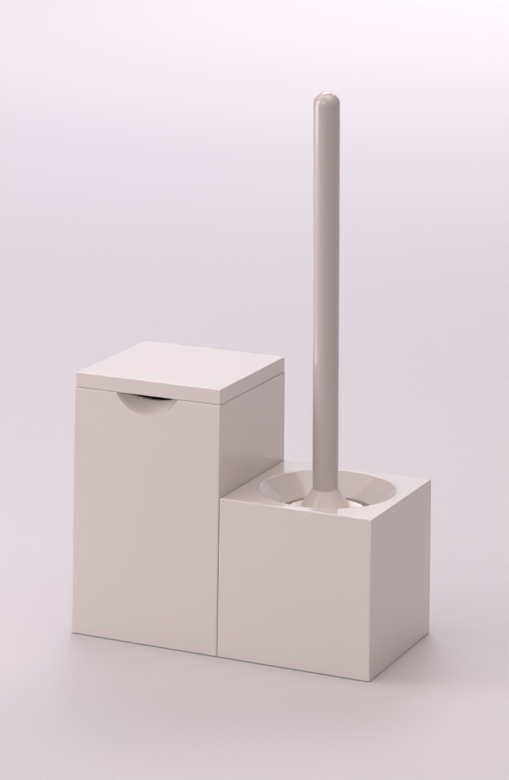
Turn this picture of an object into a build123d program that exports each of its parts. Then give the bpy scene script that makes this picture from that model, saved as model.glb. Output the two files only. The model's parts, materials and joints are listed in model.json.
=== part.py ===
from build123d import *
from math import atan, cos, radians, sin, sqrt, tan
import os

os.makedirs("parts", exist_ok=True)

# A toilet brush holder joined to a lidded bin, in millimetres.
# Origin: on the floor, in the middle of the footprint. +X runs from the bin to the holder,
# +Y to the back, +Z up. The seam between the two boxes lies in the plane X = 0.

# ---------------------------------------------------------------- driving dimensions

# both boxes
box_side = 120.0            # footprint of each box, where it is widest
draft = 0.72                # degrees that the outer walls lean in, going up
wall = 2.5                  # side walls of both shells
edge_round = 1.1            # outer edges of the shells and the lid
seam_gap = 0.3              # between the two walls that meet at the seam

# bases, feet and screws
foot_lift = 0.7             # height of the shells above the floor
base_thick = 3.0
base_fit = 0.2              # gap between a base and the shell around it
panel_rise = 1.0            # raised middle panel that stiffens a base
panel_margin = 12.0         # from the base's edge to the panel
foot_radius = 5.5
foot_sunk = 1.0             # depth of the recess that a foot is glued into
foot_spacing = 72.0
boss_radius = 4.0
boss_height = 13.0
boss_inset = 3.3            # from the inner wall faces to a boss's axis
screw_radius = 1.6
screw_length = 12.0
screw_head_radius = 3.1
screw_fit = 0.25            # round the screw, in the base
pilot_fit = 0.02            # round the screw, in its boss

# bin
bin_height = 200.0          # from the floor to the top of the lid
lid_thick = 11.0
lid_gap = 0.35              # between the lid and the rim
lid_inset = 0.3             # the lid stands this much inside the line of the walls
lid_setback = 0.7           # how much further back its front face stands
lid_top_wall = 2.5
lid_skirt = 2.2

# finger scoop in the front rim
notch_width = 49.5          # along the rim
notch_depth = 14.8          # below the rim
scoop_reach = 15.5          # how far it would go back at the rim
scoop_wall = 2.2
scoop_dip = 5.6             # the scoop's back edge dips below the rim, open to the inside
scoop_dip_width = 44.0

# lid hinge
hinge_drop = 10.0           # from the rim down to the pin line
hinge_inset = 3.2           # from the back face to the pin line
pin_radius = 1.3
pin_snug = 0.02             # radial gap in the shell's bosses
pin_running = 0.07          # radial gap in the lid's lugs
lug_wall = 1.4              # round the pin
lug_width = 12.0
lug_side_gap = 0.5
lug_spacing = 74.0
hinge_boss_wall = 1.6       # round the pin
hinge_boss_length = 6.0
slot_depth_spare = 1.4      # below the lug, for its swing

# underside of the lid
liner_thick = 2.0
liner_fit = 0.15
liner_post = 3.0            # width of the upstand under the lid's top
liner_post_inset = 8.0      # from the liner's edge to the upstand
centring_rib = 2.0          # width of the rib that drops into the bin
centring_drop = 3.0         # below the lid's underside
centring_side_gap = 2.0     # from the rib to the side walls
centring_back_gap = 9.0     # from the pin line forward to the rib

# bucket in the bin
bucket_drop = 20.6          # from the rim down to the bucket's top
bucket_wall = 1.5
bucket_draft = 0.8
bucket_corner = 14.0
bucket_flange = 3.0
bucket_flange_thick = 2.0
bucket_gap = 1.5            # from the flange to the shell and its hinge bosses

# holder
holder_height = 120.0       # from the floor to the top face
holder_top = 3.0
mouth_radius = 50.0         # where the funnel's cone would meet the top face
mouth_round = 2.0
throat_radius = 33.0
throat_depth = 15.2         # below the top face
throat_round = 0.8
cup_wall = 2.0
cup_flange_land = 0.9       # from the mouth out to the flange's edge
mouth_land_left = 0.1       # flat left on the flange outside the mouth's rounding
cup_flange_thick = 1.6
cup_ledge = 1.0             # width of the ledge that the flange rests on
cup_fit = 0.12
cup_taper = 2.0             # from the throat's radius to the floor's
cup_corner = 4.0
cup_lift_gap = 0.5          # under the cup, which hangs by its flange

# rivets that join the boxes
rivet_radius = 3.0
rivet_head_radius = 5.5
rivet_head_thick = 1.5
rivet_fit = 0.1
rivet_spacing = 70.0        # from front to back
rivet_margin = 30.0         # from the holder's top, and from the floor

# brush
brush_height = 410.0        # from the floor to the top of the handle
brush_lean = 0.95           # degrees, towards the bin
tip_gap = 0.3               # over the cup's floor
handle_radius = 9.5
handle_wall = 2.0
collar_step = 0.3           # the collar's top stands this much outside the handle
collar_radius = 17.5
collar_lip = 4.0
collar_flare = 11.3         # height of the flared part, from the lip up
collar_neck = 0.9           # short cylinder under the handle
collar_round = 4.0
spigot_height = 6.0
spigot_fit = 0.1
disc_gap = 3.5              # round the disc, in the throat
disc_sink = 0.5             # below the throat's edge
disc_thick = 2.0
disc_skirt = 4.0
disc_round = 0.9
rod_radius = 3.0
rod_fit = 0.02
rod_in_handle = 30.0        # from the collar's top to the rod's upper end
rod_stop = 20.0             # solid end of the core, under the rod
plug_cover = 10.0           # from the rod's upper end to the plug's top
core_radius = 8.0
core_rise = 12.2            # from the tip to the core's foot
core_round = 2.0
bristle_gap = 4.0           # from the cup's wall at its floor
bristle_rise = 14.2         # from the tip to the lowest ring of side bristles
bristle_drop = 18.3         # from the disc's top to the highest ring
bristle_slope = 2.0         # rise or fall of a ring's outer edge
bristle_fit = 0.05

# ---------------------------------------------------------------- derived values

BIN = -1
HOLDER = 1
overshoot = 30.0            # length by which a cutting shape runs past what it cuts


def pull(level):
    """How far the draft has moved an outer wall inwards at a height."""
    return (level - foot_lift) * tan(radians(draft))


def shell_section(side, level, inset):
    """A box's outline at a height, moved inwards by inset. The seam wall has no draft."""
    seam = seam_gap / 2 + inset
    outer = box_side - pull(level) - inset
    with BuildSketch(Plane.XY.offset(level)) as section:
        with Locations((side * (seam + outer) / 2, 0)):
            Rectangle(outer - seam, box_side - 2 * pull(level) - 2 * inset)
    return section.sketch


def lid_section(level, inset):
    """The lid's outline at a height, moved inwards by inset."""
    seam = seam_gap / 2 + lid_inset + inset
    outer = box_side - pull(level) - lid_inset - inset
    back = box_side / 2 - pull(level) - lid_inset - inset
    front = -back + lid_setback
    with BuildSketch(Plane.XY.offset(level)) as section:
        with Locations((-(seam + outer) / 2, (front + back) / 2)):
            Rectangle(outer - seam, back - front)
    return section.sketch


def corner_places(side):
    """The four screw positions of a box, in its corners."""
    seam = seam_gap / 2 + wall + boss_inset
    outer = box_side - wall - boss_inset - pull(foot_lift + base_thick + boss_height)
    depth = box_side / 2 - wall - boss_inset - pull(foot_lift + base_thick + boss_height)
    return [(side * x, y) for x in (seam, outer) for y in (-depth, depth)]


def foot_places(side):
    """The four foot positions of a box."""
    middle = side * box_side / 2
    half = foot_spacing / 2
    return [(middle + x, y) for x in (-half, half) for y in (-half, half)]


base_top = foot_lift + base_thick
panel_top = base_top + panel_rise

lid_underside = bin_height - lid_thick
bin_rim = lid_underside - lid_gap
rim_face = box_side / 2 - pull(bin_rim)                    # front or back face, at the rim
bin_middle = -(seam_gap / 2 + box_side - pull(bin_rim)) / 2

notch_radius = (notch_width ** 2 / 4 + notch_depth ** 2) / (2 * notch_depth)
scoop_setback = (notch_width ** 2 / 4 - scoop_reach ** 2) / (2 * scoop_reach)
scoop_radius = sqrt(notch_radius ** 2 + scoop_setback ** 2)
scoop_y = -rim_face - scoop_setback
scoop_z = bin_rim - notch_depth + notch_radius
dip_radius = (scoop_dip_width ** 2 / 4 + scoop_dip ** 2) / (2 * scoop_dip)

lug_radius = pin_radius + lug_wall
hinge_boss_radius = pin_radius + hinge_boss_wall
hinge_y = rim_face - hinge_inset
hinge_z = bin_rim - hinge_drop
slot_width = lug_width + 2 * lug_side_gap
lug_places = [bin_middle - lug_spacing / 2, bin_middle + lug_spacing / 2]

bucket_top = bin_rim - bucket_drop

holder_middle = box_side / 2
throat_level = holder_height - throat_depth
cup_flange_radius = mouth_radius + cup_flange_land
cup_floor_radius = throat_radius - cup_taper
cup_bottom = panel_top + cup_lift_gap
cup_floor = cup_bottom + cup_wall

rivet_levels = (rivet_margin, holder_height - rivet_margin)
rivet_rows = (-rivet_spacing / 2, rivet_spacing / 2)

# ---------------------------------------------------------------- bin

# the scoop's wall, as a bulge inside the front wall; its back edge dips in the middle
with BuildPart() as scoop_bulge:
    with Locations((bin_middle, scoop_y, scoop_z)):
        Sphere(scoop_radius + scoop_wall)
    with Locations((bin_middle, -rim_face + wall / 2, bin_rim)):
        Box(
            box_side, box_side, box_side,
            align=(Align.CENTER, Align.MIN, Align.MAX),
            mode=Mode.INTERSECT,
        )
    with Locations(Plane((bin_middle, 0, bin_rim - scoop_dip + dip_radius), z_dir=(0, 1, 0))):
        Cylinder(dip_radius, 2 * box_side, mode=Mode.SUBTRACT)

with BuildPart() as bin_shell:
    loft([shell_section(BIN, foot_lift, 0), shell_section(BIN, bin_rim, 0)])
    upright_edges = bin_shell.edges().group_by(Axis.Z)[1]
    rim_edges = bin_shell.edges().group_by(Axis.Z)[-1]
    fillet(upright_edges + rim_edges, edge_round)
    loft(
        [shell_section(BIN, foot_lift, wall), shell_section(BIN, bin_rim, wall)],
        mode=Mode.SUBTRACT,
    )
    add(scoop_bulge.part)
    with Locations((bin_middle, scoop_y, scoop_z)):
        Sphere(scoop_radius, mode=Mode.SUBTRACT)
    # hinge bosses: a round bar along the back wall at each lug, parted by the lug's slot
    for lug_x in lug_places:
        with BuildSketch(Plane.YZ.offset(lug_x)):
            with Locations((hinge_y, hinge_z)):
                Circle(hinge_boss_radius)
        extrude(amount=slot_width / 2 + hinge_boss_length, both=True)
    with Locations([(x, rim_face, hinge_z - lug_radius - slot_depth_spare) for x in lug_places]):
        Box(
            slot_width, 2 * (hinge_inset + hinge_boss_radius + wall), overshoot,
            align=(Align.CENTER, Align.CENTER, Align.MIN),
            mode=Mode.SUBTRACT,
        )
    with Locations([Plane((x, hinge_y, hinge_z), z_dir=(1, 0, 0)) for x in lug_places]):
        Cylinder(pin_radius + pin_snug, slot_width + 2 * hinge_boss_length, mode=Mode.SUBTRACT)
    # screw bosses in the corners
    with BuildSketch(Plane.XY.offset(base_top)):
        with Locations(corner_places(BIN)):
            Circle(boss_radius)
    extrude(amount=boss_height)
    with Locations([(x, y, base_top) for x, y in corner_places(BIN)]):
        Cylinder(
            screw_radius + pilot_fit, boss_height - wall,
            align=(Align.CENTER, Align.CENTER, Align.MIN),
            mode=Mode.SUBTRACT,
        )
    # rivet holes in the seam wall
    with BuildSketch(Plane.YZ.offset(-overshoot / 2)):
        with Locations([(y, z) for y in rivet_rows for z in rivet_levels]):
            Circle(rivet_radius + rivet_fit)
    extrude(amount=overshoot, mode=Mode.SUBTRACT)
bin_shell.part.label = "bin_shell"
export_step(bin_shell.part, "parts/bin_shell.step")


def bucket_section(level, grow):
    """The bucket's outline at a height, grown outwards, with a bite that clears the scoop."""
    shrink = (bucket_top - level) * tan(radians(bucket_draft))
    seam = seam_gap / 2 + wall + bucket_gap + bucket_flange + shrink - grow
    outer = box_side - pull(bin_rim) - wall - bucket_gap - bucket_flange - shrink + grow
    front = -rim_face + wall + bucket_gap + bucket_flange + shrink - grow
    back = hinge_y - hinge_boss_radius - bucket_gap - bucket_flange - shrink + grow
    bite = scoop_radius + scoop_wall + bucket_gap + bucket_flange + shrink - grow
    with BuildSketch(Plane.XY.offset(level)) as section:
        with Locations((-(seam + outer) / 2, (front + back) / 2)):
            RectangleRounded(outer - seam, back - front, bucket_corner + grow)
        with Locations((bin_middle, scoop_y)):
            Circle(bite, mode=Mode.SUBTRACT)
    return section.sketch


with BuildPart() as inner_bucket:
    loft([bucket_section(panel_top, 0), bucket_section(bucket_top, 0)], ruled=True)
    extrude(bucket_section(bucket_top - bucket_flange_thick, bucket_flange), bucket_flange_thick)
    loft(
        [
            bucket_section(panel_top + bucket_wall, -bucket_wall),
            bucket_section(bucket_top, -bucket_wall),
        ],
        ruled=True,
        mode=Mode.SUBTRACT,
    )
inner_bucket.part.label = "inner_bucket"
export_step(inner_bucket.part, "parts/inner_bucket.step")

# ---------------------------------------------------------------- lid and hinge

with BuildPart() as lid_cover:
    loft([lid_section(lid_underside, 0), lid_section(bin_height, 0)])
    upright_edges = lid_cover.edges().group_by(Axis.Z)[1]
    top_edges = lid_cover.edges().group_by(Axis.Z)[-1]
    fillet(upright_edges + top_edges, edge_round)
    loft(
        [
            lid_section(lid_underside, lid_skirt),
            lid_section(bin_height - lid_top_wall, lid_skirt),
        ],
        mode=Mode.SUBTRACT,
    )
lid_cover.part.label = "lid_cover"
export_step(lid_cover.part, "parts/lid_cover.step")

rib_front = -rim_face + scoop_reach + scoop_wall + centring_side_gap
rib_back = hinge_y - centring_back_gap
rib_seam = -(seam_gap / 2 + wall + centring_side_gap)
rib_outer = -(box_side - pull(bin_rim) - wall - centring_side_gap)
with BuildPart() as lid_liner:
    liner_inset = lid_skirt + liner_fit + pull(bin_height) - pull(lid_underside)
    extrude(lid_section(lid_underside, liner_inset), amount=liner_thick)
    # upstand that carries the lid's top
    with BuildSketch(Plane.XY.offset(lid_underside + liner_thick)):
        add(lid_section(lid_underside, liner_inset + liner_post_inset))
        add(
            lid_section(lid_underside, liner_inset + liner_post_inset + liner_post),
            mode=Mode.SUBTRACT,
        )
    extrude(amount=lid_thick - lid_top_wall - liner_thick)
    # rib that centres the closed lid in the bin
    with BuildSketch(Plane.XY.offset(lid_underside)):
        with Locations(((rib_seam + rib_outer) / 2, (rib_front + rib_back) / 2)):
            Rectangle(rib_seam - rib_outer, rib_back - rib_front)
            Rectangle(
                rib_seam - rib_outer - 2 * centring_rib, rib_back - rib_front - 2 * centring_rib,
                mode=Mode.SUBTRACT,
            )
    extrude(amount=-centring_drop)
    # hinge lugs
    for lug_x in lug_places:
        with BuildSketch(Plane.YZ.offset(lug_x - lug_width / 2)):
            with Locations((hinge_y, hinge_z)):
                Circle(lug_radius)
                Rectangle(
                    2 * lug_radius, lid_underside - hinge_z,
                    align=(Align.CENTER, Align.MIN),
                )
                Circle(pin_radius + pin_running, mode=Mode.SUBTRACT)
        extrude(amount=lug_width)
lid_liner.part.label = "lid_liner"
export_step(lid_liner.part, "parts/lid_liner.step")

for pin_name, lug_x in zip(("hinge_pin_left", "hinge_pin_right"), lug_places):
    with BuildPart() as hinge_pin:
        with Locations(Plane((lug_x, hinge_y, hinge_z), z_dir=(1, 0, 0))):
            Cylinder(pin_radius, slot_width + 2 * hinge_boss_length)
        chamfer(hinge_pin.edges().filter_by(GeomType.CIRCLE), pin_radius / 4)
    hinge_pin.part.label = pin_name
    export_step(hinge_pin.part, f"parts/{pin_name}.step")

# ---------------------------------------------------------------- holder

with BuildPart() as holder_shell:
    loft([shell_section(HOLDER, foot_lift, 0), shell_section(HOLDER, holder_height, 0)])
    upright_edges = holder_shell.edges().group_by(Axis.Z)[1]
    top_edges = holder_shell.edges().group_by(Axis.Z)[-1]
    fillet(upright_edges + top_edges, edge_round)
    loft(
        [
            shell_section(HOLDER, foot_lift, wall),
            shell_section(HOLDER, holder_height - holder_top, wall),
        ],
        mode=Mode.SUBTRACT,
    )
    # stepped hole that the cup's flange sinks into, flush with the top face
    with Locations((holder_middle, 0, holder_height)):
        CounterBoreHole(
            radius=cup_flange_radius + cup_fit - cup_ledge,
            counter_bore_radius=cup_flange_radius + cup_fit,
            counter_bore_depth=cup_flange_thick,
            depth=holder_top,
        )
    with BuildSketch(Plane.XY.offset(base_top)):
        with Locations(corner_places(HOLDER)):
            Circle(boss_radius)
    extrude(amount=boss_height)
    with Locations([(x, y, base_top) for x, y in corner_places(HOLDER)]):
        Cylinder(
            screw_radius + pilot_fit, boss_height - wall,
            align=(Align.CENTER, Align.CENTER, Align.MIN),
            mode=Mode.SUBTRACT,
        )
    with BuildSketch(Plane.YZ.offset(-overshoot / 2)):
        with Locations([(y, z) for y in rivet_rows for z in rivet_levels]):
            Circle(rivet_radius + rivet_fit)
    extrude(amount=overshoot, mode=Mode.SUBTRACT)
holder_shell.part.label = "holder_shell"
export_step(holder_shell.part, "parts/holder_shell.step")

# drip cup: a funnel with a deep cup below its throat, turned about the holder's middle
cup_side = Plane(origin=(holder_middle, 0, 0), x_dir=(1, 0, 0), z_dir=(0, -1, 0))
cone_rise = throat_depth / (mouth_radius - throat_radius)          # height per radius
cone_wall_drop = cup_wall * sqrt(1 + cone_rise ** 2)               # the wall, measured upright
mouth_fillet = min(mouth_round, (cup_flange_land - mouth_land_left) / tan(atan(cone_rise) / 2))
ledge_radius = cup_flange_radius - cup_ledge
ledge_foot = throat_level + (ledge_radius - throat_radius) * cone_rise - cone_wall_drop
shoulder_radius = throat_radius + cup_wall
shoulder_level = throat_level + cup_wall * cone_rise - cone_wall_drop
with BuildPart() as drip_cup:
    with BuildSketch(cup_side) as cup_profile:
        with BuildLine():
            Polyline(
                (0, cup_floor),
                (cup_floor_radius, cup_floor),
                (throat_radius, throat_level),
                (mouth_radius, holder_height),
                (cup_flange_radius, holder_height),
                (cup_flange_radius, holder_height - cup_flange_thick),
                (ledge_radius, holder_height - cup_flange_thick),
                (ledge_radius, ledge_foot),
                (shoulder_radius, shoulder_level),
                (cup_floor_radius + cup_wall, cup_bottom),
                (0, cup_bottom),
                close=True,
            )
        make_face()
        mouth_point = cup_profile.vertices().sort_by_distance((mouth_radius, holder_height))[0]
        fillet(mouth_point, mouth_fillet)
        throat_point = cup_profile.vertices().sort_by_distance((throat_radius, throat_level))[0]
        fillet(throat_point, throat_round)
        floor_corner = cup_profile.vertices().sort_by_distance((cup_floor_radius, cup_floor))[0]
        fillet(floor_corner, cup_corner)
    revolve(axis=Axis((holder_middle, 0, 0), (0, 0, 1)))
drip_cup.part.label = "drip_cup"
export_step(drip_cup.part, "parts/drip_cup.step")

# ---------------------------------------------------------------- bases, screws, feet, rivets

for box_name, side in (("bin", BIN), ("holder", HOLDER)):
    with BuildPart() as base:
        extrude(shell_section(side, foot_lift, wall + base_fit), amount=base_thick)
        panel = shell_section(side, foot_lift, wall + panel_margin)
        extrude(panel.moved(Location((0, 0, base_thick))), amount=panel_rise)
        with Locations([Plane((x, y, foot_lift), z_dir=(0, 0, -1)) for x, y in corner_places(side)]):
            CounterSinkHole(screw_radius + screw_fit, screw_head_radius + screw_fit)
        with BuildSketch(Plane.XY.offset(foot_lift)):
            with Locations(foot_places(side)):
                Circle(foot_radius)
        extrude(amount=foot_sunk, mode=Mode.SUBTRACT)
    base.part.label = f"{box_name}_base"
    export_step(base.part, f"parts/{box_name}_base.step")

    with BuildPart() as screws:
        with Locations([(x, y, foot_lift) for x, y in corner_places(side)]):
            Cylinder(screw_radius, screw_length, align=(Align.CENTER, Align.CENTER, Align.MIN))
            Cone(
                screw_head_radius, screw_radius, screw_head_radius - screw_radius,
                align=(Align.CENTER, Align.CENTER, Align.MIN),
            )
    screws.part.label = f"{box_name}_base_screws"
    export_step(screws.part, f"parts/{box_name}_base_screws.step")

    with BuildPart() as feet:
        with BuildSketch():
            with Locations(foot_places(side)):
                Circle(foot_radius)
        extrude(amount=foot_lift + foot_sunk)
        chamfer(feet.edges().group_by(Axis.Z)[0], foot_lift / 4)
    feet.part.label = f"{box_name}_feet"
    export_step(feet.part, f"parts/{box_name}_feet.step")

rivet_reach = seam_gap / 2 + wall
with BuildPart() as joining_rivets:
    rivet_places = [(y, z) for y in rivet_rows for z in rivet_levels]
    with BuildSketch(Plane.YZ):
        with Locations(rivet_places):
            Circle(rivet_radius)
    extrude(amount=rivet_reach, both=True)
    for end in (BIN, HOLDER):
        head_planes = [Plane((end * rivet_reach, y, z), z_dir=(end, 0, 0)) for y, z in rivet_places]
        with Locations(head_planes):
            Cylinder(
                rivet_head_radius, rivet_head_thick,
                align=(Align.CENTER, Align.CENTER, Align.MIN),
            )
joining_rivets.part.label = "joining_rivets"
export_step(joining_rivets.part, "parts/joining_rivets.step")

# ---------------------------------------------------------------- brush

brush_tip = cup_floor + tip_gap
lean_sine = sin(radians(brush_lean))
lean_cosine = cos(radians(brush_lean))
brush_origin = (holder_middle, 0, brush_tip)
brush_line = Axis(brush_origin, (-lean_sine, 0, lean_cosine))
# profiles of turned pieces: local X is the radius, local Y the distance along the brush
brush_side = Plane(origin=brush_origin, x_dir=(lean_cosine, 0, lean_sine), z_dir=(0, -1, 0))


def along(level):
    """Distance from the brush's tip to a level."""
    return level - brush_tip


bore_radius = handle_radius - handle_wall
disc_radius = throat_radius - disc_gap
disc_top = throat_level - disc_sink
core_top = disc_top - disc_thick
collar_top = disc_top + collar_lip + collar_flare + collar_neck
collar_top_radius = handle_radius + collar_step
spigot_top = collar_top + spigot_height
rod_head = collar_top + rod_in_handle
core_foot = brush_tip + core_rise
rod_foot = core_foot + rod_stop

with BuildPart() as brush_handle:
    dome_centre = along(brush_height) - handle_radius
    with BuildSketch(brush_side):
        with BuildLine():
            Line((0, along(brush_height)), (0, along(brush_height) - handle_wall))
            CenterArc((0, dome_centre), bore_radius, 0, 90)
            Line((bore_radius, dome_centre), (bore_radius, along(collar_top)))
            Line((bore_radius, along(collar_top)), (handle_radius, along(collar_top)))
            Line((handle_radius, along(collar_top)), (handle_radius, dome_centre))
            CenterArc((0, dome_centre), handle_radius, 0, 90)
        make_face()
    revolve(axis=brush_line)
brush_handle.part.label = "brush_handle"
export_step(brush_handle.part, "parts/brush_handle.step")

with BuildPart() as handle_plug:
    with BuildSketch(brush_side):
        with Locations((rod_radius + rod_fit, along(spigot_top))):
            Rectangle(
                bore_radius - spigot_fit - rod_radius - rod_fit, rod_head + plug_cover - spigot_top,
                align=(Align.MIN, Align.MIN),
            )
    revolve(axis=brush_line)
handle_plug.part.label = "handle_plug"
export_step(handle_plug.part, "parts/handle_plug.step")

with BuildPart() as splash_cone:
    flare_foot = (collar_radius, along(disc_top + collar_lip))
    with BuildSketch(brush_side) as collar_profile:
        with BuildLine():
            Polyline(
                (rod_radius + rod_fit, along(disc_top)),
                (collar_radius, along(disc_top)),
                flare_foot,
                (collar_top_radius, along(collar_top - collar_neck)),
                (collar_top_radius, along(collar_top)),
                (bore_radius - spigot_fit, along(collar_top)),
                (bore_radius - spigot_fit, along(spigot_top)),
                (rod_radius + rod_fit, along(spigot_top)),
                close=True,
            )
        make_face()
        fillet(collar_profile.vertices().sort_by_distance(flare_foot)[0], collar_round)
    revolve(axis=brush_line)
splash_cone.part.label = "splash_cone"
export_step(splash_cone.part, "parts/splash_cone.step")

with BuildPart() as cover_disc:
    with BuildSketch(brush_side) as disc_profile:
        with BuildLine():
            Polyline(
                (rod_radius + rod_fit, along(disc_top)),
                (disc_radius, along(disc_top)),
                (disc_radius, along(disc_top - disc_thick - disc_skirt)),
                (disc_radius - disc_thick, along(disc_top - disc_thick - disc_skirt)),
                (disc_radius - disc_thick, along(disc_top - disc_thick)),
                (rod_radius + rod_fit, along(disc_top - disc_thick)),
                close=True,
            )
        make_face()
        disc_edge = (disc_radius, along(disc_top))
        fillet(disc_profile.vertices().sort_by_distance(disc_edge)[0], disc_round)
    revolve(axis=brush_line)
cover_disc.part.label = "cover_disc"
export_step(cover_disc.part, "parts/cover_disc.step")

with BuildPart() as stem_rod:
    with BuildSketch(brush_side):
        with Locations((0, along(rod_foot))):
            Rectangle(rod_radius, rod_head - rod_foot, align=(Align.MIN, Align.MIN))
    revolve(axis=brush_line)
    chamfer(stem_rod.edges().filter_by(GeomType.CIRCLE), rod_radius / 6)
stem_rod.part.label = "stem_rod"
export_step(stem_rod.part, "parts/stem_rod.step")

with BuildPart() as head_core:
    with BuildSketch(brush_side) as core_profile:
        with BuildLine():
            Polyline(
                (0, along(core_foot)),
                (core_radius, along(core_foot)),
                (core_radius, along(core_top)),
                (rod_radius + rod_fit, along(core_top)),
                (rod_radius + rod_fit, along(rod_foot)),
                (0, along(rod_foot)),
                close=True,
            )
        make_face()
        core_edge = (core_radius, along(core_foot))
        fillet(core_profile.vertices().sort_by_distance(core_edge)[0], core_round)
    revolve(axis=brush_line)
head_core.part.label = "head_core"
export_step(head_core.part, "parts/head_core.step")

# the bristles, as plain closed bodies of their outer shape
bristle_radius = cup_floor_radius - bristle_gap
bristle_bore = core_radius + bristle_fit
bristle_shoulder = bristle_radius - bristle_slope
bristle_foot = brush_tip + bristle_rise
bristle_top = disc_top - bristle_drop
with BuildPart() as side_bristles:
    with BuildSketch(brush_side):
        with BuildLine():
            Polyline(
                (bristle_bore, along(bristle_foot + bristle_slope)),
                (bristle_shoulder, along(bristle_foot)),
                (bristle_radius, along(bristle_foot + 4 * bristle_slope)),
                (bristle_radius, along(bristle_top - 4 * bristle_slope)),
                (bristle_shoulder, along(bristle_top)),
                (bristle_bore, along(bristle_top - bristle_slope)),
                close=True,
            )
        make_face()
    revolve(axis=brush_line)
side_bristles.part.label = "side_bristles"
export_step(side_bristles.part, "parts/side_bristles.step")

with BuildPart() as tip_bristles:
    tip_rim = (bristle_shoulder, along(bristle_foot - bristle_fit))
    tip_top = (bristle_bore, along(bristle_foot + bristle_slope - bristle_fit))
    with BuildSketch(brush_side):
        with BuildLine():
            TangentArc((0, 0), tip_rim, tangent=(1, 0))
            Polyline(
                tip_rim,
                tip_top,
                (bristle_bore, along(core_foot - bristle_fit)),
                (0, along(core_foot - bristle_fit)),
                (0, 0),
            )
        make_face()
    revolve(axis=brush_line)
tip_bristles.part.label = "tip_bristles"
export_step(tip_bristles.part, "parts/tip_bristles.step")
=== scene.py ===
import json
import math
import random

import bmesh
import bpy
from mathutils import Matrix, Quaternion, Vector


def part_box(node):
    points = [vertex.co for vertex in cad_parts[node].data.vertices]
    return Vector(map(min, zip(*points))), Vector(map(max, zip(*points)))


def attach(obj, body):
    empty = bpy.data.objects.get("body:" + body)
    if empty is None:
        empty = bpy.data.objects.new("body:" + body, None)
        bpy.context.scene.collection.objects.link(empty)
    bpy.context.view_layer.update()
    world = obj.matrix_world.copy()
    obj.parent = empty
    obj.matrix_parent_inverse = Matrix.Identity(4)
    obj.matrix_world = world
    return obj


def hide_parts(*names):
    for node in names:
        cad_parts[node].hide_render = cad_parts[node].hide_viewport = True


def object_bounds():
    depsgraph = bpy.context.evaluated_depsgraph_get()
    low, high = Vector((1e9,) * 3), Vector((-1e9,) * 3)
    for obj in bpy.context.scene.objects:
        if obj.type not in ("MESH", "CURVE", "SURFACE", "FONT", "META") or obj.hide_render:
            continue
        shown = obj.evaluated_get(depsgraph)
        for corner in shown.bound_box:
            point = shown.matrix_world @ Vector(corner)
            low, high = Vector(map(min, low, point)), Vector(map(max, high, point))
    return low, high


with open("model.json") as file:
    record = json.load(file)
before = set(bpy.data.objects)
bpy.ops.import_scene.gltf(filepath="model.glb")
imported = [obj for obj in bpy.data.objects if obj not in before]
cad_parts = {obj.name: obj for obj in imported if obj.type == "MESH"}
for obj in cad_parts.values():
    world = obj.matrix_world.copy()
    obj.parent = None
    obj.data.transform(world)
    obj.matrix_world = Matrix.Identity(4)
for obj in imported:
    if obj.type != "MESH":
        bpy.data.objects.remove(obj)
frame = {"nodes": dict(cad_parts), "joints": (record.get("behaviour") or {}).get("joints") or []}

bpy.context.view_layer.update()
cad_low, cad_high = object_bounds()

MM = 0.001
cad_middle = (cad_low + cad_high) / 2

# ------------------------------------------------------------------ camera

CAMERA_AZIMUTH = 24.16
CAMERA_ELEVATION = 14.17
CAMERA_ROLL = 0.74
CAMERA_DISTANCE = 2.0301
CAMERA_LENS = 128.49
SENSOR_WIDTH = 36.0
CAMERA_AIM = cad_middle + Vector((2.15, -3.67, -16.70)) * MM


def direction(azimuth, elevation):
    """Unit vector from the object outwards. Azimuth 0 is in front and 90 is on the +X side."""
    turn, rise = math.radians(azimuth), math.radians(elevation)
    return Vector((
        math.sin(turn) * math.cos(rise),
        -math.cos(turn) * math.cos(rise),
        math.sin(rise),
    ))


def make_camera():
    outwards = direction(CAMERA_AZIMUTH, CAMERA_ELEVATION)
    camera = bpy.data.objects.new("camera", bpy.data.cameras.new("camera"))
    bpy.context.scene.collection.objects.link(camera)
    camera.rotation_mode = "QUATERNION"
    level = (-outwards).to_track_quat("-Z", "Y")
    camera.rotation_quaternion = level @ Quaternion((0, 0, 1), math.radians(CAMERA_ROLL))
    camera.location = CAMERA_AIM + outwards * CAMERA_DISTANCE
    camera.data.lens = CAMERA_LENS
    camera.data.sensor_width = SENSOR_WIDTH
    camera.data.clip_start = 0.05
    camera.data.clip_end = 60.0
    bpy.context.scene.camera = camera


make_camera()

# ------------------------------------------------------------------ light

bpy.context.scene.view_settings.view_transform = "Standard"


def soft_light(name, place, aim, width, height, power, tint):
    """A rectangular softbox that faces a point. The camera doesn't see it, reflections do."""
    data = bpy.data.lights.new(name, "AREA")
    data.shape = "RECTANGLE"
    data.size = width
    data.size_y = height
    data.energy = power
    data.color = tint
    lamp = bpy.data.objects.new(name, data)
    bpy.context.scene.collection.objects.link(lamp)
    lamp.location = place
    lamp.rotation_mode = "QUATERNION"
    lamp.rotation_quaternion = (Vector(aim) - Vector(place)).to_track_quat("-Z", "Y")
    lamp.visible_camera = False
    return lamp


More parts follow.
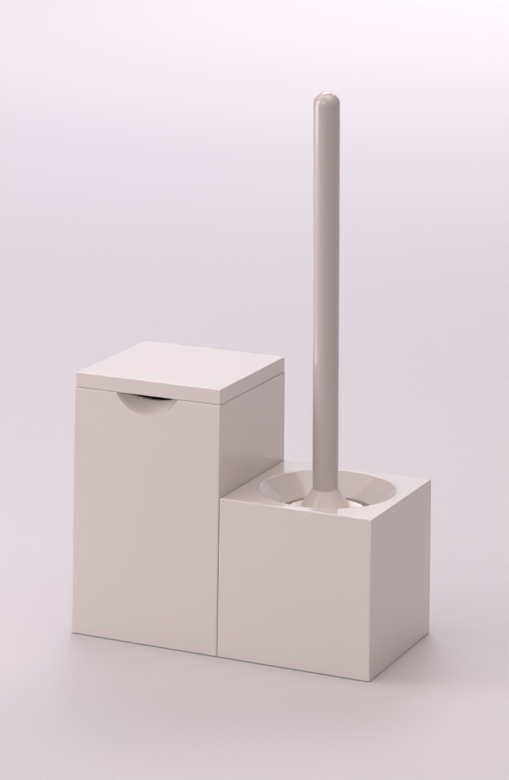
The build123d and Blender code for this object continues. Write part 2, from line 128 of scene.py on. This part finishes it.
LAMPS = (
    # name, place, aim, width, height, power, tint
    ("key_low", (-1.9, -0.7, 0.6), (0, 0, 0.16), 1.4, 1.4, 22.6, (0.870, 0.891, 1.000)),
    ("key_high", (-1.3, -0.9, 1.15), (0, 0, 0.16), 0.9, 0.9, 3.24, (1.000, 0.584, 0.369)),
    ("overhead_right", (0.35, -0.05, 1.35), (0.05, 0, 0.1), 0.8, 0.9, 4.7, (1.000, 0.940, 0.980)),
    ("overhead_left", (-0.57, -0.1, 1.3), (0.0, 0, 0.1), 0.5, 0.9, 2.0, (1.000, 0.940, 0.980)),
    ("back_panel", (-2.1, 5.8, 2.0), (0, 0, 0.3), 5.8, 2.7, 33.6, (1.000, 0.960, 0.985)),
    ("backdrop_wash", (-0.8, 4.2, 3.6), (-1.2, 4.8, 0), 3.6, 2.4, 110, (1.000, 0.662, 0.539)),
    ("backdrop_far", (-0.4, 5.4, 2.4), (-0.8, 6.0, 0), 4.0, 2.0, 64.5, (0.601, 0.801, 1.000)),
    ("backdrop_mid", (-1.4, 2.2, 2.8), (-1.4, 2.6, 0), 1.8, 1.8, 46.2, (0.605, 0.769, 1.000)),
    ("front_fill", (-0.4, -2.6, 1.7), (0, 0, 0.15), 1.2, 1.2, 7.5, (0.900, 0.900, 0.960)),
)
for lamp in LAMPS:
    soft_light(*lamp)

# ------------------------------------------------------------------ finishes


class Socket:
    """An output of a node. Sums on it add Math nodes."""

    def __init__(self, nodes, output):
        self.nodes = nodes
        self.output = output

    def _sum(self, operation, first, second):
        return self.nodes.node("ShaderNodeMath", {"operation": operation}, {0: first, 1: second})

    def __add__(self, other):
        return self._sum("ADD", self, other)

    __radd__ = __add__

    def __sub__(self, other):
        return self._sum("SUBTRACT", self, other)

    def __rsub__(self, other):
        return self._sum("SUBTRACT", other, self)

    def __mul__(self, other):
        return self._sum("MULTIPLY", self, other)

    __rmul__ = __mul__

    def at_least(self, other):
        return self._sum("MAXIMUM", self, other)


class Nodes:
    """A node tree and the nodes added to it."""

    def __init__(self, tree):
        self.tree = tree

    def node(self, kind, settings=None, inputs=None, output=0):
        """Adds a node: its settings first, then the values or links of its sockets."""
        made = self.tree.nodes.new(kind)
        for key, value in (settings or {}).items():
            if key == "stops":
                self._set_stops(made.color_ramp.elements, value)
            else:
                setattr(made, key, value)
        for key, value in (inputs or {}).items():
            self.feed(made.inputs[key], value)
        return Socket(self, made.outputs[output])

    def feed(self, socket, value):
        if isinstance(value, Socket):
            self.tree.links.new(value.output, socket)
        else:
            socket.default_value = value

    def _set_stops(self, elements, stops):
        while len(elements) < len(stops):
            elements.new(0.5)
        for element, (position, level) in zip(elements, stops):
            element.position = position
            element.color = (level, level, level, 1)


class Finish(Nodes):
    """A material with one Principled shader and the nodes that feed it."""

    def __init__(self, name, **constants):
        self.material = bpy.data.materials.new(name)
        self.material.use_nodes = True
        super().__init__(self.material.node_tree)
        self.shader = self.tree.nodes["Principled BSDF"]
        self.shade(**constants)

    def shade(self, **inputs):
        """Sets or feeds the shader's own sockets."""
        for key, value in inputs.items():
            self.feed(self.shader.inputs[key.replace("_", " ")], value)

    def place(self):
        return self.node("ShaderNodeTexCoord", output="Object")

    def stretched(self, vector, scale):
        return self.node("ShaderNodeMapping", None, {"Vector": vector, "Scale": scale})

    def noise(self, vector, scale, detail=2.0, roughness=0.5):
        sockets = {"Vector": vector, "Scale": scale, "Detail": detail, "Roughness": roughness}
        return self.node("ShaderNodeTexNoise", None, sockets, "Fac")

    def ramp(self, value, *stops):
        return self.node("ShaderNodeValToRGB", {"stops": stops}, {"Fac": value})

    def mixed(self, factor, first, second):
        """One colour laid over another."""
        return self.node(
            "ShaderNodeMix", {"data_type": "RGBA"}, {0: factor, 6: first, 7: second}, 2
        )

    def bump(self, height, strength, distance, over=None):
        sockets = {"Height": height, "Strength": strength, "Distance": distance}
        if over is not None:
            sockets["Normal"] = over
        return self.node("ShaderNodeBump", None, sockets, "Normal")


def shade_of(tone, factor):
    """A colour made lighter or darker, with its alpha."""
    return (*(min(1.0, channel * factor) for channel in tone), 1)


def gloss_plastic(name, tone, gloss, lacquer=0.6):
    """Polished moulded plastic: faint flow clouds, dark specks, smears and a soft waviness."""
    finish = Finish(name, IOR=1.54, Coat_Weight=lacquer, Coat_Roughness=0.02)
    place = finish.place()
    cloud = finish.noise(place, scale=11.0, detail=3.0)
    fine = finish.noise(place, scale=75.0, detail=4.0, roughness=0.6)
    tint = finish.mixed(cloud * 0.7 + fine * 0.3, shade_of(tone, 0.975), shade_of(tone, 1.02))
    grit = finish.noise(place, scale=950.0, detail=1.0)
    specks = finish.ramp(grit, (0.0, 0.0), (0.78, 0.0), (0.82, 1.0))
    colour = finish.mixed(specks * 0.12, tint, shade_of(tone, 0.72))
    handled = finish.stretched(place, (22.0, 22.0, 7.0))
    smears = finish.noise(handled, scale=1.0, detail=5.0, roughness=0.62)
    smear_swing = 0.05
    shrinkage = finish.noise(place, scale=14.0, detail=1.0)
    waves = finish.bump(shrinkage, strength=1.0, distance=0.05 * MM)
    orange_peel = finish.noise(place, scale=330.0, detail=2.0)
    finish.shade(
        Base_Color=colour,
        Roughness=smears * smear_swing + (gloss - smear_swing / 2),
        Normal=finish.bump(orange_peel, strength=0.2, distance=0.01 * MM, over=waves),
    )
    return finish.material


def satin_plastic(name, tone, roughness):
    """Spark-eroded satin plastic: a fine even grain."""
    finish = Finish(name, IOR=1.5)
    place = finish.place()
    cloud = finish.noise(place, scale=16.0, detail=3.0)
    grain = finish.noise(place, scale=1400.0, detail=2.0, roughness=0.6)
    rubbed = finish.stretched(place, (60.0, 9.0, 30.0))
    scuffs = finish.noise(rubbed, scale=1.0, detail=5.0, roughness=0.6)
    scuff_swing = 0.14
    finish.shade(
        Base_Color=finish.mixed(cloud, shade_of(tone, 0.95), shade_of(tone, 1.03)),
        Roughness=scuffs * scuff_swing + (roughness - scuff_swing / 2),
        Normal=finish.bump(grain, strength=0.4, distance=0.06 * MM),
    )
    return finish.material


def matt_rubber(name, tone):
    """Soft elastomer with a dusty, pebbled skin."""
    finish = Finish(name, IOR=1.5)
    place = finish.place()
    dust = finish.noise(place, scale=90.0, detail=5.0, roughness=0.65)
    pebbles = finish.noise(place, scale=900.0, detail=3.0, roughness=0.6)
    finish.shade(
        Base_Color=finish.mixed(dust, shade_of(tone, 0.85), shade_of(tone, 1.15)),
        Roughness=dust * 0.2 + 0.62,
        Normal=finish.bump(pebbles, strength=0.6, distance=0.1 * MM),
    )
    return finish.material


def drawn_steel(name, tone, roughness, along):
    """Metal with fine lines along one direction, and a little tarnish."""
    finish = Finish(name)
    place = finish.place()
    drawn = finish.stretched(place, along)
    lines = finish.noise(drawn, scale=1.0, detail=3.0, roughness=0.7)
    tarnish = finish.noise(place, scale=120.0, detail=4.0, roughness=0.6)
    line_swing = 0.18
    finish.shade(
        Base_Color=finish.mixed(tarnish, shade_of(tone, 0.82), shade_of(tone, 1.08)),
        Metallic=1.0,
        Roughness=lines * line_swing + (roughness - line_swing / 2),
        Normal=finish.bump(lines, strength=0.25, distance=0.02 * MM),
    )
    return finish.material


def nylon(name, tone):
    """Bristle filament: milky, with faint streaks."""
    finish = Finish(name, IOR=1.53)
    streaks = finish.noise(finish.place(), scale=600.0, detail=2.0)
    finish.shade(
        Base_Color=finish.mixed(streaks, shade_of(tone, 0.93), shade_of(tone, 1.04)),
        Roughness=streaks * 0.15 + 0.3,
    )
    return finish.material


SHELL_TONE = (0.76, 0.685, 0.645)
CUP_TONE = (0.69, 0.62, 0.585)
HANDLE_TONE = (0.58, 0.518, 0.49)
LINER_TONE = (0.77, 0.72, 0.69)
BUCKET_TONE = (0.80, 0.78, 0.765)
FOOT_TONE = (0.30, 0.29, 0.285)
ROD_TONE = (0.60, 0.60, 0.61)
SCREW_TONE = (0.58, 0.58, 0.60)
BRISTLE_TONE = (0.97, 0.945, 0.925)
# painted light: the disc's tone is made paler than the cup's to paint in the top light that falls
# on it inside the funnel
DISC_PAINTED_LIGHT_TONE = (0.92, 0.87, 0.845)
COLLAR_TONE = (0.74, 0.67, 0.63)

# the drawing lines run up the rod, and the zinc on the screws has no direction
ROD_LINES = (900.0, 900.0, 12.0)
SCREW_LINES = (500.0, 500.0, 500.0)

finishes = {
    "shell_plastic": gloss_plastic("shell_gloss", SHELL_TONE, 0.06),
    "cup_plastic": gloss_plastic("cup_gloss", CUP_TONE, 0.15, lacquer=0.15),
    "handle_plastic": gloss_plastic("handle_gloss", HANDLE_TONE, 0.08),
    "liner_plastic": satin_plastic("liner_satin", LINER_TONE, 0.45),
    "bucket_plastic": satin_plastic("bucket_satin", BUCKET_TONE, 0.4),
    "foot_rubber": matt_rubber("foot_elastomer", FOOT_TONE),
    "rod_steel": drawn_steel("rod_drawn_steel", ROD_TONE, 0.28, ROD_LINES),
    "screw_steel": drawn_steel("screw_zinc", SCREW_TONE, 0.35, SCREW_LINES),
    "bristle_nylon": nylon("bristle_filament", BRISTLE_TONE),
}
# the collar is moulded from another batch than the cup and the handle; the disc gets a paler tone
# than the cup, which is painted light for the top light falling on it inside the funnel
own_finishes = {
    "cover_disc": gloss_plastic("disc_gloss_painted_light", DISC_PAINTED_LIGHT_TONE, 0.14, lacquer=0.2),
    "splash_cone": gloss_plastic("collar_gloss", COLLAR_TONE, 0.1, lacquer=0.3),
}

for name, node in frame["nodes"].items():
    for slot in node.material_slots:
        slot_name = slot.material.name.split(".")[0]
        slot.material = own_finishes.get(name, finishes[slot_name])

# ------------------------------------------------------------------ room light

ROOM_GLOW = {
    "back": (0.031, 0.119, 0.196),
    "up": (0.455, 0.343, 0.287),
    "front": (0.390, 0.400, 0.470),
}


def light_room(glow):
    """The room's own soft light: some from behind, more from above and from the front."""
    world = bpy.data.worlds.new("studio")
    bpy.context.scene.world = world
    world.use_nodes = True
    nodes = Nodes(world.node_tree)
    way = nodes.node("ShaderNodeTexCoord", output="Generated")
    back, up = (nodes.node("ShaderNodeSeparateXYZ", None, {0: way}, axis) for axis in (1, 2))
    lobes = {"back": back, "up": up, "front": 0 - back}
    total = (0.0, 0.0, 0.0)
    for name, lobe in lobes.items():
        sockets = {0: glow[name], "Scale": lobe.at_least(0.0)}
        share = nodes.node("ShaderNodeVectorMath", {"operation": "SCALE"}, sockets)
        total = nodes.node("ShaderNodeVectorMath", {"operation": "ADD"}, {0: total, 1: share})
    nodes.feed(world.node_tree.nodes["Background"].inputs["Color"], total)


light_room(ROOM_GLOW)

# ------------------------------------------------------------------ floor


FLOOR_RADIUS = 9.0
PAPER_DARK = (0.61, 0.60, 0.61, 1)
PAPER_LIGHT = (0.65, 0.64, 0.65, 1)


def make_floor():
    """A round sheet of pale paper, with its fibres."""
    build = bmesh.new()
    bmesh.ops.create_circle(build, cap_ends=True, segments=96, radius=FLOOR_RADIUS)
    mesh = bpy.data.meshes.new("floor")
    build.to_mesh(mesh)
    build.free()
    floor = bpy.data.objects.new("floor", mesh)
    bpy.context.scene.collection.objects.link(floor)
    paper = Finish("floor_paper", IOR=1.4)
    fibres = paper.noise(paper.place(), scale=420.0, detail=4.0, roughness=0.6)
    paper.shade(
        Base_Color=paper.mixed(fibres, PAPER_DARK, PAPER_LIGHT),
        Roughness=0.6,
        Normal=paper.bump(fibres, strength=0.2, distance=0.1 * MM),
    )
    mesh.materials.append(paper.material)


make_floor()

# ------------------------------------------------------------------ bristles

brush_joint = next(joint for joint in frame["joints"] if joint["name"] == "brush_lift")
cup_low, cup_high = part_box("drip_cup")
tip_low, tip_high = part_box("tip_bristles")
side_low, side_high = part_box("side_bristles")
core_low, core_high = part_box("head_core")

brush_tip = Vector(((cup_low.x + cup_high.x) / 2, 0, tip_low.z))
brush_up = Vector(brush_joint["axis"]).normalized()
brush_across = Vector((0, 1, 0)).cross(brush_up).normalized()
# takes a point (across, back, distance from the tip) to its place on the leaning brush
brush_place = Matrix.Translation(brush_tip) @ Matrix(
    (brush_across, (0, 1, 0), brush_up)
).transposed().to_4x4()

CORE_RADIUS = core_high.y
BRISTLE_RADIUS = side_high.y
SHOULDER_RADIUS = tip_high.y
# levels along the brush, measured from its tip
CORE_FOOT = 12.2 * MM
SIDE_FOOT = 14.2 * MM
SIDE_HEAD = 78.2 * MM
DOME_RADIUS = (SHOULDER_RADIUS ** 2 + SIDE_FOOT ** 2) / (2 * SIDE_FOOT)

FILAMENTS = 20  # in each tuft
FILAMENT_RADIUS = 0.24 * MM
FILAMENT_TAPER = 0.8

SIDE_RINGS = 14
SIDE_MARGIN = 3.0 * MM
TUFTS_IN_QUARTER = 4
TUFT_RADIUS = 1.1 * MM
ROOT_DEPTH = 1.5 * MM
SPLAY = 4.6 * MM
SPLAY_ALONG = 0.62  # of the splay round the core
EDGE_MARGIN = 0.3 * MM
END_RING_REACH = SHOULDER_RADIUS + 0.6 * MM

TIP_ROWS = ((0.0, 1), (0.24, 7), (0.46, 12), (0.68, 16), (0.88, 20))  # share of the dome, tufts
TIP_STAGGER = 3  # tuft spacings that the rows turn by, from the middle to the edge
TIP_WIDEST = 0.985  # of the dome
TIP_SPLAY = 0.11  # of the dome
TIP_SWEEP = 0.16  # radians
ROOT_SHARE = 0.78  # of the core's radius
ROOT_LEVEL = CORE_FOOT + 0.5 * MM

# in millimetres: how far ends stray, how short they are cut, and the shift per radian of sweep
STRAY_ALONG = 0.5
STRAY_AROUND = 0.7
SIDE_TRIM = (0.1, 0.9)
TIP_TRIM = (0.1, 0.7)
ROOT_SWEEP = 5
END_SWEEP = 8

dice = random.Random(20)


def filament(build, root, end):
    """One bristle: a slim five-sided taper from its root to its cut end."""
    way = end - root
    turn = way.to_track_quat("Z", "Y").to_matrix().to_4x4()
    bmesh.ops.create_cone(
        build,
        cap_ends=True,
        segments=5,
        radius1=FILAMENT_RADIUS,
        radius2=FILAMENT_RADIUS * FILAMENT_TAPER,
        depth=way.length,
        matrix=Matrix.Translation((root + end) / 2) @ turn,
    )


def finish_bristles(build, name, node):
    """Stands the filaments on the leaning brush, in place of a plain node."""
    mesh = bpy.data.meshes.new(name)
    build.to_mesh(mesh)
    build.free()
    mesh.transform(brush_place)
    mesh.materials.append(finishes["bristle_nylon"])
    piece = bpy.data.objects.new(name, mesh)
    bpy.context.scene.collection.objects.link(piece)
    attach(piece, "brush")
    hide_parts(node)


def side_tuft(build, level, turn, reach):
    """Filaments that leave one hole in the core and splay out to the trimmed edge."""
    for _ in range(FILAMENTS):
        angle = dice.uniform(0, 2 * math.pi)
        share = math.sqrt(dice.random())
        root = Vector((
            CORE_RADIUS - ROOT_DEPTH,
            TUFT_RADIUS * share * math.cos(angle),
            level + TUFT_RADIUS * share * math.sin(angle),
        ))
        stray = dice.uniform(-STRAY_ALONG, STRAY_ALONG) * MM
        rise = SPLAY * SPLAY_ALONG * share * math.sin(angle) + stray
        stray = dice.uniform(-STRAY_AROUND, STRAY_AROUND) * MM
        sweep = SPLAY * share * math.cos(angle) + stray
        out = reach - dice.uniform(*SIDE_TRIM) * MM
        end = Vector((math.sqrt(out ** 2 - sweep ** 2), sweep, level + rise))
        end.z = min(max(end.z, SIDE_FOOT + EDGE_MARGIN), SIDE_HEAD - EDGE_MARGIN)
        spin = Matrix.Rotation(turn, 3, "Z")
        filament(build, spin @ root, spin @ end)


def side_bristles():
    """Rings of tufts round the core, each a quarter that is spun into a whole."""
    whole = bmesh.new()
    pitch = (SIDE_HEAD - SIDE_FOOT - 2 * SIDE_MARGIN) / (SIDE_RINGS - 1)
    for ring in range(SIDE_RINGS):
        level = SIDE_FOOT + SIDE_MARGIN + ring * pitch
        at_end = ring in (0, SIDE_RINGS - 1)
        reach = END_RING_REACH if at_end else BRISTLE_RADIUS
        quarter = bmesh.new()
        start = (ring % 2) * math.pi / (4 * TUFTS_IN_QUARTER)
        for tuft in range(TUFTS_IN_QUARTER):
            side_tuft(quarter, level, start + tuft * math.pi / (2 * TUFTS_IN_QUARTER), reach)
        bmesh.ops.spin(
            quarter,
            geom=quarter.verts[:] + quarter.edges[:] + quarter.faces[:],
            axis=(0, 0, 1),
            cent=(0, 0, 0),
            angle=1.5 * math.pi,
            steps=3,
            use_duplicate=True,
        )
        part = bpy.data.meshes.new("ring")
        quarter.to_mesh(part)
        quarter.free()
        whole.from_mesh(part)
        bpy.data.meshes.remove(part)
    finish_bristles(whole, "side_tufts", "side_bristles")


def tip_bristles():
    """Rows of tufts that fan out over the dome at the brush's tip."""
    whole = bmesh.new()
    widest = math.asin(SHOULDER_RADIUS / DOME_RADIUS)
    for share, count in TIP_ROWS:
        for tuft in range(count):
            turn = (tuft + share * TIP_STAGGER) * 2 * math.pi / count
            spin = Matrix.Rotation(turn, 3, "Z")
            for _ in range(FILAMENTS):
                splay = widest * min(TIP_WIDEST, share + dice.uniform(-TIP_SPLAY, TIP_SPLAY))
                sweep = dice.uniform(-TIP_SWEEP, TIP_SWEEP)
                root = Vector((
                    CORE_RADIUS * ROOT_SHARE * share,
                    sweep * ROOT_SWEEP * MM,
                    ROOT_LEVEL,
                ))
                radius = DOME_RADIUS - dice.uniform(*TIP_TRIM) * MM
                aside = sweep * END_SWEEP * MM * (1 - share)
                end = Vector((
                    radius * math.sin(splay) * math.cos(sweep),
                    radius * math.sin(splay) * math.sin(sweep) + aside,
                    DOME_RADIUS - radius * math.cos(splay),
                ))
                filament(whole, spin @ root, spin @ end)
    finish_bristles(whole, "tip_tufts", "tip_bristles")


side_bristles()
tip_bristles()

# ------------------------------------------------------------------ view layer update

bpy.context.view_layer.update()
